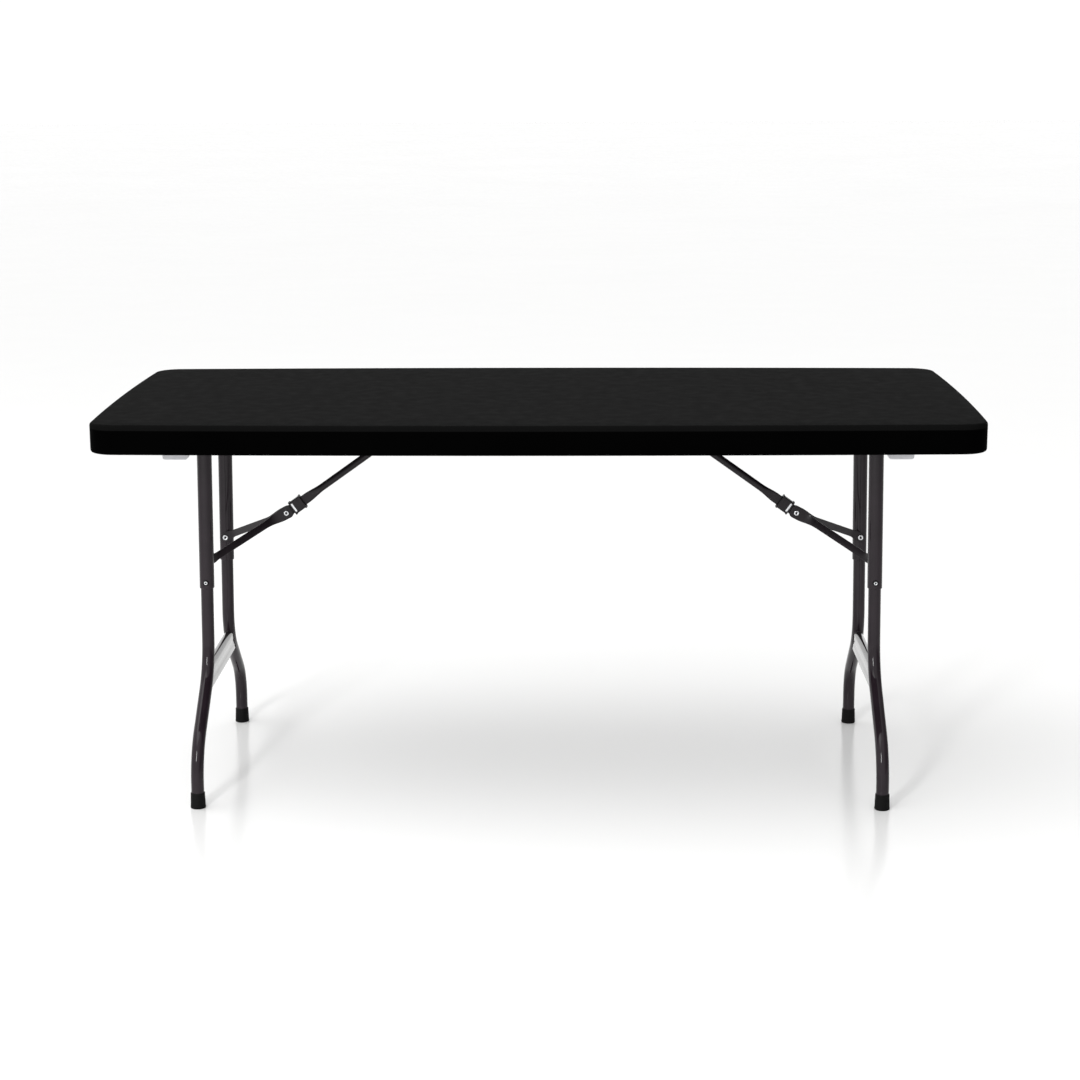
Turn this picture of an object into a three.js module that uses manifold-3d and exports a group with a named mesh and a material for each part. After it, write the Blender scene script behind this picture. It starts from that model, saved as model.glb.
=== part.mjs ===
// Rectangular folding table with a moulded plastic top and two folding steel leg sets.
// Millimetres. X runs along the table, -Y is the front, +Z is up, and the floor is Z = 0.
// Both ends are alike: each is drawn once at +X, and the left end is the same end turned half round.

import * as THREE from 'three';
import { mergeVertices } from 'three/addons/utils/BufferGeometryUtils.js';
import Module from 'manifold-3d';

const wasm = await Module();
wasm.setup();

const gap = 0.3;                     // clearance between touching pieces

const table = { length: 1620, width: 762, height: 740 };
const top = {
  depth: 54, ceiling: 724.5, wall: 24, edge: 6,
  endBow: 8, sideBow: 14, cornerRadius: 46,
};
const pivot = { x: 653, z: 685.5, radius: 11, bore: 9, length: 640 };
const sleeve = { radius: 14, bore: 12.3, top: 690, end: 387, x: 632, y: 125.4 };
const tube = {
  radius: 12, bore: 10.6, top: 452, bottom: 4,
  footX: 640.5, footY: 282.6, upperCorner: 231, lowerCorner: 102, bend: 110, straight: 50,
};
const crossbar = { low: 188, high: 238, thickness: 18, wall: 1.5 };
const foot = { radius: 14.5, neck: 13.3, height: 30, floor: 3.5 };
const sleeveRivet = { z: 399, shank: 3, head: 5.6, height: 2.2 };
const block = { length: 46, width: 22, bottom: 669, y: 307, corner: 5, flange: 16, flangeDepth: 5 };
const rail = { length: 1320, y: 331, width: 22, height: 23, sheet: 2, screwX: 380 };
const screw = { head: 4.6, headHeight: 2.2, shank: 2, length: 12 };

const knee = { x: 496.2, z: 508 };
const strutFoot = { z: 435 };        // where a strut meets its leg
const armTop = { x: 217.2, z: 707 };

const arm = {
  radius: 7, flat: 3, kneeHalf: 9.8, eyeHalf: 7.4, kneeEnd: 10, eyeEnd: 7, kneeFlat: 49, round: 86,
  wide: 0.3, narrow: 0.62, thinning: 0.7,    // how far the pressed knee end has eased back to round
};
const plate = {
  sheet: 3, half: 12, end: 12.5, parallel: 26, taper: 46, barHalf: 7, footHalf: 9, footEnd: 10, easing: 0.55,
};
const ring = {
  near: 14.4, length: 25.6, innerY: 7.3, innerZ: 11.4, wall: 1.8, lip: 1.6, lipLength: 2,
  window: 4.2, windowHalf: 9.6, windowStart: 2.2,
};
const kneeRivet = { shank: 4, head: 7, height: 2.4, dimple: 2.2 };
const strutBolt = { shank: 3, head: 6, height: 2.6 };
const bracket = { sheet: 2.5, ear: 3.6, earLength: 18, foot: 12, bottom: 698.5, inboard: 8, outboard: 30 };
const hingePin = { radius: 3, head: 4.6, headHeight: 1.8 };
const clip = { x: 330, sheet: 2.4, depth: 30, length: 18 };

const skirtBottom = table.height - top.depth;
const lean = (tube.footX - sleeve.x) / (sleeve.top - tube.straight);
const legX = z => tube.footX - lean * Math.max(z - tube.straight, 0);

const material = (name, color, roughness, metalness) =>
  new THREE.MeshStandardMaterial({ name, color, roughness, metalness });
const mouldedTop = material('moulded_top', 0x212121, 0.55, 0);
const legPaint = material('leg_paint', 0x3a363a, 0.3, 0.3);
const steelDark = material('dark_steel', 0x262427, 0.4, 0.4);
const zinc = material('zinc', 0xc9ccd0, 0.3, 1);
const rubber = material('rubber', 0x0c0c0c, 0.7, 0);
const greyPlastic = material('grey_plastic', 0xd3d3d8, 0.5, 0);
const blackPlastic = material('black_plastic', 0x1a1a1b, 0.5, 0);

// ---- geometry helpers ----

function toSolid(geometry) {
  const bare = geometry.clone();
  bare.deleteAttribute('normal');
  bare.deleteAttribute('uv');
  const merged = mergeVertices(bare, 1e-3);
  return new wasm.Manifold(new wasm.Mesh({
    numProp: 3,
    vertProperties: new Float32Array(merged.attributes.position.array),
    triVerts: new Uint32Array(merged.index.array),
  }));
}

function toGeometry(solid) {
  const mesh = solid.getMesh();
  const geometry = new THREE.BufferGeometry();
  geometry.setAttribute('position', new THREE.BufferAttribute(mesh.vertProperties, 3));
  geometry.setIndex(new THREE.BufferAttribute(mesh.triVerts, 1));
  geometry.computeVertexNormals();
  return geometry;
}

function cut(body, ...tools) {
  let solid = toSolid(body);
  for (const tool of tools) solid = solid.subtract(toSolid(tool));
  return toGeometry(solid);
}

function join(...bodies) {
  return toGeometry(bodies.map(toSolid).reduce((whole, body) => whole.add(body)));
}

// A lathe turned to lie along Y: profile pairs are [radius, distance along Y].
function latheY(profile, segments = 16) {
  const points = profile.map(([radius, along]) => new THREE.Vector2(radius, along));
  return new THREE.LatheGeometry(points, segments);
}

function latheZ(profile, segments = 16) {
  return latheY(profile, segments).rotateX(Math.PI / 2);
}

const rodY = (radius, from, to, segments = 12) =>
  latheY([[0, from], [radius, from], [radius, to], [0, to]], segments);
const rodZ = (radius, from, to, segments = 12) =>
  latheZ([[0, from], [radius, from], [radius, to], [0, to]], segments);

function box(low, high) {
  const size = high.map((value, axis) => value - low[axis]);
  return new THREE.BoxGeometry(...size).translate(...high.map((value, axis) => (value + low[axis]) / 2));
}

function polygon(points) {
  return new THREE.Shape(points.map(([x, y]) => new THREE.Vector2(x, y)));
}

function roundedRectangle(halfX, halfY, radius) {
  const shape = new THREE.Shape();
  shape.absarc(halfX - radius, halfY - radius, radius, 0, Math.PI / 2);
  shape.absarc(radius - halfX, halfY - radius, radius, Math.PI / 2, Math.PI);
  shape.absarc(radius - halfX, radius - halfY, radius, Math.PI, 1.5 * Math.PI);
  shape.absarc(halfX - radius, radius - halfY, radius, 1.5 * Math.PI, 2 * Math.PI);
  shape.closePath();
  return shape;
}

const extrude = (shape, depth, curveSegments = 3) =>
  new THREE.ExtrudeGeometry(shape, { depth, bevelEnabled: false, curveSegments });

// A shape drawn in (x, z) and given a thickness along Y, from low to high.
const extrudeY = (shape, low, high, curveSegments) =>
  extrude(shape, high - low, curveSegments).rotateX(Math.PI / 2).translate(0, high, 0);

// A shape drawn in (y, z) and given a length along X, from low to high.
const extrudeX = (shape, low, high, curveSegments) =>
  extrude(shape, high - low, curveSegments).rotateX(Math.PI / 2).rotateZ(Math.PI / 2).translate(low, 0, 0);

// A path known only at chosen stations, so a straight run costs one step and a bend several.
class Stations extends THREE.Curve {
  constructor(points) {
    super();
    this.points = points;
  }

  index(u) {
    return Math.round(u * (this.points.length - 1));
  }

  getPointAt(u, target = new THREE.Vector3()) {
    return target.copy(this.points[this.index(u)]);
  }

  getTangentAt(u, target = new THREE.Vector3()) {
    const here = this.index(u);
    const before = this.points[Math.max(here - 1, 0)];
    const after = this.points[Math.min(here + 1, this.points.length - 1)];
    return target.subVectors(after, before).normalize();
  }
}

function pipe(path, radius, bore, curveSegments = 8) {
  const section = new THREE.Shape().absarc(0, 0, radius, 0, 2 * Math.PI);
  if (bore) section.holes.push(new THREE.Path().absarc(0, 0, bore, 0, 2 * Math.PI));
  const steps = path.points.length - 1;
  return new THREE.ExtrudeGeometry(section, { steps, extrudePath: path, bevelEnabled: false, curveSegments });
}

// ---- the top ----

// The outline: long shallow arcs for sides and ends, joined by corner arcs that are tangent to both.
function topOutline(inset) {
  const halfLength = table.length / 2;
  const halfWidth = table.width / 2;
  const sideRadius = (halfLength ** 2 + top.sideBow ** 2) / (2 * top.sideBow);
  const endRadius = (halfWidth ** 2 + top.endBow ** 2) / (2 * top.endBow);
  const sideCentre = sideRadius - halfWidth;
  const endCentre = endRadius - halfLength;
  let x = halfLength - top.cornerRadius;
  let y = halfWidth - top.cornerRadius;
  for (let pass = 0; pass < 12; pass += 1) {
    x = Math.sqrt((endRadius - top.cornerRadius) ** 2 - y ** 2) - endCentre;
    y = Math.sqrt((sideRadius - top.cornerRadius) ** 2 - x ** 2) - sideCentre;
  }
  const sideAngle = Math.atan2(x, y + sideCentre);
  const endAngle = Math.atan2(y, x + endCentre);
  const quarter = Math.PI / 2;
  const shape = new THREE.Shape();
  const corner = top.cornerRadius - inset;
  shape.absarc(-endCentre, 0, endRadius - inset, -endAngle, endAngle);
  shape.absarc(x, y, corner, endAngle, quarter - sideAngle);
  shape.absarc(0, -sideCentre, sideRadius - inset, quarter - sideAngle, quarter + sideAngle);
  shape.absarc(-x, y, corner, quarter + sideAngle, Math.PI - endAngle);
  shape.absarc(endCentre, 0, endRadius - inset, Math.PI - endAngle, Math.PI + endAngle);
  shape.absarc(-x, -y, corner, Math.PI + endAngle, 3 * quarter - sideAngle);
  shape.absarc(0, sideCentre, sideRadius - inset, 3 * quarter - sideAngle, 3 * quarter + sideAngle);
  shape.absarc(x, -y, corner, 3 * quarter + sideAngle, 4 * quarter - endAngle);
  shape.closePath();
  return shape;
}

const railScrews = [-1, 1].flatMap(sign => [-1, 1].map(side => [sign * rail.screwX, side * rail.y]));
const blockScrewX = pivot.x + block.length / 2 + block.flange / 2;
const blockScrews = [-1, 1].flatMap(sign => [-1, 1].map(side => [sign * blockScrewX, side * block.y]));

function makeTop() {
  const body = new THREE.ExtrudeGeometry(topOutline(top.edge), {
    depth: top.depth - 2 * top.edge, curveSegments: 4,
    bevelThickness: top.edge, bevelSize: top.edge, bevelSegments: 3,
  }).translate(0, 0, skirtBottom + top.edge);
  const pan = extrude(topOutline(top.wall), top.ceiling - skirtBottom + 10, 4)
    .translate(0, 0, skirtBottom - 10);
  const pilots = [...railScrews, ...blockScrews].map(([x, y]) =>
    rodZ(screw.shank + gap, top.ceiling - 5, top.ceiling + screw.length, 8).translate(x, y, 0));
  return cut(body, pan, ...pilots);
}

// A screw driven up into the top: its head sits under a sheet at height under.
function screwUp(under) {
  const face = under - gap;
  return latheZ([
    [0, face - screw.headHeight], [screw.head * 0.7, face - screw.headHeight], [screw.head, face],
    [screw.shank, face], [screw.shank, face + screw.length], [0, face + screw.length],
  ], 8);
}

function makeBlockScrew() {
  return screwUp(top.ceiling - gap - block.flangeDepth).translate(blockScrewX, block.y, 0);
}

function makeRail(side) {
  const inner = rail.y - rail.width / 2;
  const outer = rail.y + rail.width / 2;
  const roof = top.ceiling - gap;
  const section = polygon([
    [inner, roof - rail.sheet], [outer - rail.sheet, roof - rail.sheet],
    [outer - rail.sheet, roof - rail.height], [outer, roof - rail.height], [outer, roof], [inner, roof],
  ]);
  const angle = extrudeX(section, -rail.length / 2, rail.length / 2);
  const holes = railScrews.filter(([, y]) => y > 0).map(([x, y]) =>
    rodZ(screw.shank + gap, roof - 6, roof + 2, 8).translate(x, y, 0));
  const solid = cut(angle, ...holes);
  return side > 0 ? solid : solid.rotateZ(Math.PI);
}

// ---- one leg set, at +X ----

// The lower tube's centre line: straight down, out towards the foot, and straight down again.
function tubePath() {
  const slope = Math.atan2(tube.footY - sleeve.y, tube.upperCorner - tube.lowerCorner);
  const reach = tube.bend * Math.tan(slope / 2);
  const points = [[sleeve.y, tube.top]];
  const bendSteps = 5;
  for (let step = 0; step <= bendSteps; step += 1) {
    const angle = slope * step / bendSteps;
    points.push([
      sleeve.y + tube.bend * (1 - Math.cos(angle)),
      tube.upperCorner + reach - tube.bend * Math.sin(angle),
    ]);
  }
  for (let step = bendSteps; step >= 0; step -= 1) {
    const angle = slope * step / bendSteps;
    points.push([
      tube.footY - tube.bend * (1 - Math.cos(angle)),
      tube.lowerCorner - reach + tube.bend * Math.sin(angle),
    ]);
  }
  points.push([tube.footY, tube.bottom]);
  return new Stations(points.map(([y, z]) => new THREE.Vector3(legX(z), y, z)));
}

const legLine = (high, low) => new Stations([
  new THREE.Vector3(legX(high), sleeve.y, high), new THREE.Vector3(legX(low), sleeve.y, low),
]);

// The hole for the sleeve rivet, through the outer wall only.
function rivetHole() {
  const { z, shank } = sleeveRivet;
  return rodY(shank + gap, sleeve.y, sleeve.y + 30).translate(legX(z), 0, z);
}

function makeSleeve() {
  const body = pipe(legLine(sleeve.top, sleeve.end), sleeve.radius, sleeve.bore);
  const saddle = rodY(pivot.radius + gap, 0, 2 * sleeve.y, 20).translate(pivot.x, 0, pivot.z);
  return cut(body, saddle, rivetHole());
}

function makeLowerTube() {
  return cut(pipe(tubePath(), tube.radius, tube.bore), rivetHole());
}

function makeSleeveRivet() {
  const face = sleeve.y + sleeve.radius + gap;
  const { shank, head, height } = sleeveRivet;
  return latheY([
    [0, face - 7], [shank, face - 7], [shank, face], [head, face], [head * 0.8, face + height * 0.8],
    [head * 0.4, face + height], [head * 0.3, face + height * 0.4], [0, face + height * 0.4],
  ], 10).translate(legX(sleeveRivet.z), 0, sleeveRivet.z);
}

function makeFoot() {
  const { radius, neck, height, floor } = foot;
  const bore = tube.radius + gap;
  return latheZ([
    [0, 0], [radius - 1, 0], [radius, 1.2], [radius - 0.3, 6], [neck, height - 1.5], [neck - 0.8, height],
    [bore, height], [bore, floor], [0, floor],
  ], 16).translate(tube.footX, tube.footY, 0);
}

function makeCrossbar() {
  const middle = (crossbar.low + crossbar.high) / 2;
  const half = (crossbar.high - crossbar.low) / 2;
  const round = crossbar.thickness / 2;
  const section = roundedRectangle(round, half, round - 0.01);
  const reach = sleeve.y + 60;
  const bar = extrudeY(section, -reach, reach, 3).translate(legX(middle), 0, middle);
  const bore = roundedRectangle(round - crossbar.wall, half - crossbar.wall, round - crossbar.wall - 0.1);
  const hollow = extrudeY(bore, -reach - 1, reach + 1, 3).translate(legX(middle), 0, middle);
  const leg = pipe(tubePath(), tube.radius + gap, 0);
  const beyond = box([0, sleeve.y + sleeve.radius, 0], [table.length / 2, sleeve.y + 90, sleeve.end]);
  const outside = toSolid(leg).add(toSolid(beyond));
  const ends = outside.add(outside.mirror([0, 1, 0]));
  const parts = toSolid(bar).subtract(toSolid(hollow)).subtract(ends).decompose();
  return toGeometry(parts.sort((one, other) => other.volume() - one.volume())[0]);
}

function makePivotTube() {
  const half = pivot.length / 2;
  const line = new Stations([
    new THREE.Vector3(pivot.x, -half, pivot.z), new THREE.Vector3(pivot.x, half, pivot.z),
  ]);
  return pipe(line, pivot.radius, pivot.bore, 10);
}

function makeBlock() {
  const half = block.length / 2;
  const roof = top.ceiling - gap;
  const { bottom, corner, flange, flangeDepth } = block;
  const shape = new THREE.Shape();
  shape.moveTo(half, roof - flangeDepth);
  shape.lineTo(half + flange, roof - flangeDepth);
  shape.lineTo(half + flange, roof);
  shape.lineTo(-half, roof);
  shape.absarc(corner - half, bottom + corner, corner, Math.PI, 1.5 * Math.PI);
  shape.absarc(half - corner, bottom + corner, corner, 1.5 * Math.PI, 2 * Math.PI);
  shape.closePath();
  const width = block.width / 2;
  const body = extrudeY(shape, block.y - width, block.y + width, 3).translate(pivot.x, 0, 0);
  const bore = rodY(pivot.radius + gap, block.y - 20, block.y + 20, 20).translate(pivot.x, 0, pivot.z);
  const hole = rodZ(screw.shank + gap, roof - 10, roof + 2, 8).translate(blockScrewX, block.y, 0);
  return cut(body, bore, hole);
}

function makeClip() {
  const inner = tube.radius + 1;
  const outer = inner + clip.sheet;
  const roof = top.ceiling - gap;
  const low = roof - clip.depth;
  const section = polygon([
    [-outer, roof], [-outer, low], [-inner, low], [-inner, roof - clip.sheet],
    [inner, roof - clip.sheet], [inner, low], [outer, low], [outer, roof],
  ]);
  return extrudeX(section, clip.x - clip.length / 2, clip.x + clip.length / 2).translate(0, sleeve.y, 0);
}

// ---- one brace, at +X: upper arm, lock ring and the forked lower half ----

const armLength = Math.hypot(knee.x - armTop.x, armTop.z - knee.z);
const armSlope = Math.atan2(armTop.z - knee.z, knee.x - armTop.x);
const forkLength = Math.hypot(legX(strutFoot.z) - knee.x, knee.z - strutFoot.z);
const forkSlope = Math.atan2(knee.z - strutFoot.z, legX(strutFoot.z) - knee.x);

const mix = (from, to, share) => from + (to - from) * THREE.MathUtils.smoothstep(share, 0, 1);

// A round rod pressed flat at both ends; X runs from the eye to the knee.
function makeArm() {
  const low = -arm.eyeEnd;
  const high = armLength + arm.kneeEnd;
  const easing = (share, thinning) => [
    armLength - mix(arm.kneeFlat, arm.round, share), mix(arm.kneeHalf, arm.radius, share),
    mix(arm.flat, arm.radius, thinning),
  ];
  const stations = [
    [low, 4, arm.flat], [low + 2.5, arm.eyeHalf - 0.8, arm.flat], [low + 6, arm.eyeHalf, arm.flat],
    [14, arm.eyeHalf, arm.flat], [24, 7.1, 5], [34, arm.radius, arm.radius],
    [armLength - arm.round, arm.radius, arm.radius],
    easing(arm.narrow, arm.thinning), easing(arm.wide, arm.wide),
    [armLength - arm.kneeFlat, arm.kneeHalf, arm.flat], [high - 5, arm.kneeHalf, arm.flat],
    [high - 1.5, arm.kneeHalf - 2, arm.flat], [high, arm.kneeHalf - 4, arm.flat],
  ];
  const rod = new THREE.CylinderGeometry(1, 1, stations.length - 1, 16, stations.length - 1);
  rod.rotateZ(-Math.PI / 2).translate((stations.length - 1) / 2, 0, 0);
  const position = rod.attributes.position;
  for (let i = 0; i < position.count; i += 1) {
    const [x, tall, thick] = stations[Math.round(position.getX(i))];
    position.setXYZ(i, x, position.getY(i) * thick, position.getZ(i) * tall);
  }
  return cut(rod,
    rodY(hingePin.radius + gap, -20, 20),
    rodY(kneeRivet.shank + gap, -20, 20).translate(armLength, 0, 0));
}

// A flat bar that leaves the knee beside the arm, turns outwards and ends flat against a leg.
function makeStrut() {
  const start = arm.flat + gap + plate.sheet / 2;
  const finish = sleeve.y - sleeve.radius - gap - plate.sheet / 2;
  const turn = forkLength - plate.footHalf - 6;
  const profile = [
    [-plate.end, 5.5], [-plate.end + 2, 9], [-plate.end + 5, plate.half - 0.6],
    [-4, plate.half], [6, plate.half],
    [plate.parallel, mix(plate.half, plate.barHalf, plate.easing)], [plate.taper, plate.barHalf],
    [(plate.taper + turn) / 2, plate.barHalf], [turn - 3, plate.barHalf], [turn + 3, plate.barHalf + 1],
    [forkLength - 4, plate.footHalf], [forkLength + 4, plate.footHalf],
    [forkLength + plate.footEnd - 3, plate.footHalf - 2.2], [forkLength + plate.footEnd, 4],
  ];
  const centre = x => {
    const share = THREE.MathUtils.clamp((x - plate.parallel) / (turn - plate.parallel), 0, 1);
    return start + (finish - start) * share;
  };
  const strut = new THREE.BoxGeometry(profile.length - 1, 2, 2, profile.length - 1, 1, 1)
    .translate((profile.length - 1) / 2, 0, 0);
  const position = strut.attributes.position;
  for (let i = 0; i < position.count; i += 1) {
    const [x, half] = profile[Math.round(position.getX(i))];
    const heading = Math.atan2(centre(x + 4) - centre(x - 4), 8);
    const side = position.getY(i) * plate.sheet / 2;
    const across = centre(x) + side * Math.cos(heading);
    position.setXYZ(i, x - side * Math.sin(heading), across, position.getZ(i) * half);
  }
  return cut(strut,
    rodY(kneeRivet.shank + gap, -20, 20),
    rodY(strutBolt.shank + gap, finish - 10, finish + 10).translate(forkLength, 0, 0));
}

function makeStrutBolt() {
  const face = sleeve.y - sleeve.radius - gap;
  const inner = face - plate.sheet - gap;
  const { shank, head, height } = strutBolt;
  return latheY([
    [0, inner - height * 0.5], [head * 0.42, inner - height * 0.5], [head * 0.5, inner - height],
    [head * 0.85, inner - height * 0.85], [head, inner - height * 0.3], [head, inner], [shank, inner],
    [shank, face], [0, face],
  ], 10).translate(forkLength, 0, 0);
}

function makeKneeRivet() {
  const face = arm.flat + gap + plate.sheet + gap;
  const { shank, head, height, dimple } = kneeRivet;
  const half = [
    [shank, face], [head, face], [head * 0.86, face + height * 0.7], [head * 0.5, face + height],
    [dimple, face + height * 0.9], [dimple * 0.7, face + height * 0.4], [0, face + height * 0.4],
  ];
  const mirrored = half.map(([radius, along]) => [radius, -along]).reverse();
  return latheY([...mirrored, ...half], 12);
}

function makeRing() {
  const outerY = ring.innerY + ring.wall;
  const outerZ = ring.innerZ + ring.wall;
  const far = armLength - ring.near;
  const near = far - ring.length;
  const band = extrudeX(roundedRectangle(outerY, outerZ, 3), near, far, 3);
  const lips = [near, far - ring.lipLength].map(x =>
    box([x, -outerY + 2, -outerZ - ring.lip], [x + ring.lipLength, outerY - 2, outerZ + ring.lip]));
  const inside = box([near - 5, -ring.innerY, -ring.innerZ], [far + 5, ring.innerY, ring.innerZ]);
  const windowEnd = far - ring.windowStart;
  const window = box([windowEnd - ring.window, -20, -ring.windowHalf], [windowEnd, 20, ring.windowHalf]);
  return cut(join(band, ...lips), inside, window);
}

// A bright leaf bent over the arm inside the ring; it shows through the ring's windows.
function makeRingSpring() {
  const far = armLength - ring.near - 1;
  const leaf = {
    inner: arm.flat + 0.5, outer: ring.innerY - gap, low: -10, roof: ring.innerZ - gap, sheet: 0.9, length: 7,
  };
  const under = leaf.roof - leaf.sheet;
  const section = polygon([
    [-leaf.outer, leaf.low], [-leaf.inner, leaf.low], [-leaf.inner, under], [leaf.inner, under],
    [leaf.inner, leaf.low], [leaf.outer, leaf.low], [leaf.outer, leaf.roof], [-leaf.outer, leaf.roof],
  ]);
  return extrudeX(section, far - leaf.length, far);
}

function makeBracket() {
  const roof = top.ceiling - gap;
  const inner = bracket.ear;
  const outer = bracket.ear + bracket.sheet;
  const low = armTop.x - bracket.inboard;
  const high = armTop.x + bracket.outboard;
  const side = outer + bracket.foot;
  const plateTop = box([low, -side, roof - bracket.sheet], [high, side, roof]);
  const ears = [[-outer, -inner], [inner, outer]].map(([from, to]) =>
    box([low, from, bracket.bottom], [low + bracket.earLength, to, roof - 1]));
  const hole = rodY(hingePin.radius + gap, -20, 20).translate(armTop.x, 0, armTop.z);
  return cut(join(plateTop, ...ears), hole);
}

function makeHingePin() {
  const face = bracket.ear + bracket.sheet + gap;
  const { radius, head, headHeight } = hingePin;
  return latheY([
    [0, -face - headHeight], [head * 0.7, -face - headHeight], [head, -face - headHeight / 2], [head, -face],
    [radius, -face], [radius, face], [head, face], [head, face + headHeight / 2],
    [head * 0.7, face + headHeight], [0, face + headHeight],
  ], 10).translate(armTop.x, 0, armTop.z);
}

// ---- assembly ----

function node(name, geometry, surface) {
  const mesh = new THREE.Mesh(geometry, surface);
  mesh.name = name;
  return mesh;
}

// The same piece on the other side of the table's long axis.
function mirrorY(geometry) {
  const solid = toSolid(geometry).mirror([0, 1, 0]);
  return toGeometry(solid);
}

function makeEnd(end) {
  const group = new THREE.Group();
  const legSet = new THREE.Group();
  const armGroup = new THREE.Group();
  const fork = new THREE.Group();
  armGroup.position.set(armTop.x, 0, armTop.z);
  armGroup.rotation.y = armSlope;
  fork.position.set(knee.x, 0, knee.z);
  fork.rotation.y = forkSlope;
  group.add(legSet, armGroup, fork);

  const turned = end === 'left';
  const pairs = [
    [legSet, 'sleeve', makeSleeve(), legPaint],
    [legSet, 'lower_tube', makeLowerTube(), legPaint],
    [legSet, 'foot_cap', makeFoot(), rubber],
    [legSet, 'sleeve_rivet', makeSleeveRivet(), zinc],
    [fork, 'strut', makeStrut(), steelDark],
    [fork, 'strut_bolt', makeStrutBolt(), zinc],
    [group, 'pivot_block', makeBlock(), greyPlastic],
    [group, 'block_screw', makeBlockScrew(), zinc],
  ];
  for (const [parent, name, geometry, surface] of pairs) {
    const plusY = turned ? 'front' : 'back';
    const minusY = turned ? 'back' : 'front';
    parent.add(node(`${end}_${plusY}_${name}`, geometry, surface));
    parent.add(node(`${end}_${minusY}_${name}`, mirrorY(geometry), surface));
  }
  legSet.add(node(`${end}_pivot_tube`, makePivotTube(), legPaint));
  legSet.add(node(`${end}_crossbar`, makeCrossbar(), legPaint));
  armGroup.add(node(`${end}_upper_arm`, makeArm(), steelDark));
  armGroup.add(node(`${end}_lock_ring`, makeRing(), steelDark));
  armGroup.add(node(`${end}_ring_spring`, makeRingSpring(), zinc));
  fork.add(node(`${end}_knee_rivet`, makeKneeRivet(), zinc));
  group.add(node(`${end}_brace_bracket`, makeBracket(), steelDark));
  group.add(node(`${end}_brace_pin`, makeHingePin(), zinc));
  group.add(node(`${end}_leg_clip`, makeClip(), blackPlastic));
  if (turned) group.rotation.z = Math.PI;
  return group;
}

const group = new THREE.Group();
group.add(node('table_top', makeTop(), mouldedTop));
group.add(node('front_rail', makeRail(-1), steelDark));
group.add(node('back_rail', makeRail(1), steelDark));
for (const [x, y] of railScrews) {
  const name = `rail_screw_${y < 0 ? 'front' : 'back'}_${x < 0 ? 'left' : 'right'}`;
  group.add(node(name, screwUp(top.ceiling - gap - rail.sheet).translate(x, y, 0), zinc));
}
group.add(makeEnd('left'), makeEnd('right'));

export default group;
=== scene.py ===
import math

import bmesh
import bpy
import numpy as np
from mathutils import Matrix, Vector


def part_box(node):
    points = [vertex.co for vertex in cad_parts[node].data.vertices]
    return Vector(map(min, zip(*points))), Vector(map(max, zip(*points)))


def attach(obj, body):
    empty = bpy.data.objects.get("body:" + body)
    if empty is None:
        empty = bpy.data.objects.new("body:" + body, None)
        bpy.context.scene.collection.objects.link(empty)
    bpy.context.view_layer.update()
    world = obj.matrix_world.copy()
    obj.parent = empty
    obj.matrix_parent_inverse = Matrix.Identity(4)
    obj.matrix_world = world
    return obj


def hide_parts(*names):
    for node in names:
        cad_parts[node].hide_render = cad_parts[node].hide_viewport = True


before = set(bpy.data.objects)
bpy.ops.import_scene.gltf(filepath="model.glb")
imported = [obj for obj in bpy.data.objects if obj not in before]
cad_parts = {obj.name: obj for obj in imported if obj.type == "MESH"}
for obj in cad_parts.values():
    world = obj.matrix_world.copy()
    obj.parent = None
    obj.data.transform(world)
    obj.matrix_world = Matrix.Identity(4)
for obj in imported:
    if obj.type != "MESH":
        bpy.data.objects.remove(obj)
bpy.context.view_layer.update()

# Lengths below are in millimetres and angles in degrees; a mesh is turned to metres when it is made.
millimetre = 0.001
gap = 0.3
weldDistance = 0.004


def boxOf(node):
    low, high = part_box(node)
    return np.array(low) / millimetre, np.array(high) / millimetre


def centreOf(node):
    return sum(boxOf(node)) / 2


def softened(points, radius, steps=5, closed=False):
    # each corner becomes a quadratic curve: (1-t)²·before + 2t(1-t)·corner + t²·after
    points = np.asarray(points, float)
    radius = np.broadcast_to(np.asarray(radius, float), len(points))[:, None]
    towardsLast = np.roll(points, 1, axis=0) - points
    towardsNext = np.roll(points, -1, axis=0) - points
    lastLength = np.linalg.norm(towardsLast, axis=1, keepdims=True)
    nextLength = np.linalg.norm(towardsNext, axis=1, keepdims=True)
    reach = np.minimum(radius, 0.49 * np.minimum(lastLength, nextLength))
    before = points + towardsLast / lastLength * reach
    after = points + towardsNext / nextLength * reach
    t = np.linspace(0, 1, steps)[None, :, None]
    curve = (1 - t) ** 2 * before[:, None] + 2 * t * (1 - t) * points[:, None] + t ** 2 * after[:, None]
    if closed:
        return curve.reshape(-1, points.shape[1])
    return np.concatenate([points[:1], curve[1:-1].reshape(-1, points.shape[1]), points[-1:]])


def roundedBox(halfWide, halfTall, corner, steps=6):
    # a quarter circle at each corner; the straight sides are the gaps between them
    angle = np.linspace(0, 90, steps)[None, :] + np.arange(4)[:, None] * 90
    angle = np.radians(angle).reshape(-1)
    middle = np.radians(np.arange(4) * 90 + 45).repeat(steps)
    return np.stack([
        np.sign(np.cos(middle)) * (halfWide - corner) + corner * np.cos(angle),
        np.sign(np.sin(middle)) * (halfTall - corner) + corner * np.sin(angle),
    ], axis=1)


def pulledIn(outline, distance):
    # every point moves inwards along the normal between its two neighbours
    run = np.roll(outline, -1, axis=0) - np.roll(outline, 1, axis=0)
    run /= np.maximum(np.linalg.norm(run, axis=1, keepdims=True), 1e-9)
    inward = np.stack([-run[:, 1], run[:, 0]], axis=1)
    following = np.roll(outline, -1, axis=0)
    area = np.sum(outline[:, 0] * following[:, 1] - following[:, 0] * outline[:, 1])
    return outline + inward * distance * np.sign(area)


def smoothly(value, low, high):
    share = np.clip((value - low) / (high - low), 0, 1)
    return share * share * (3 - 2 * share)


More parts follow.
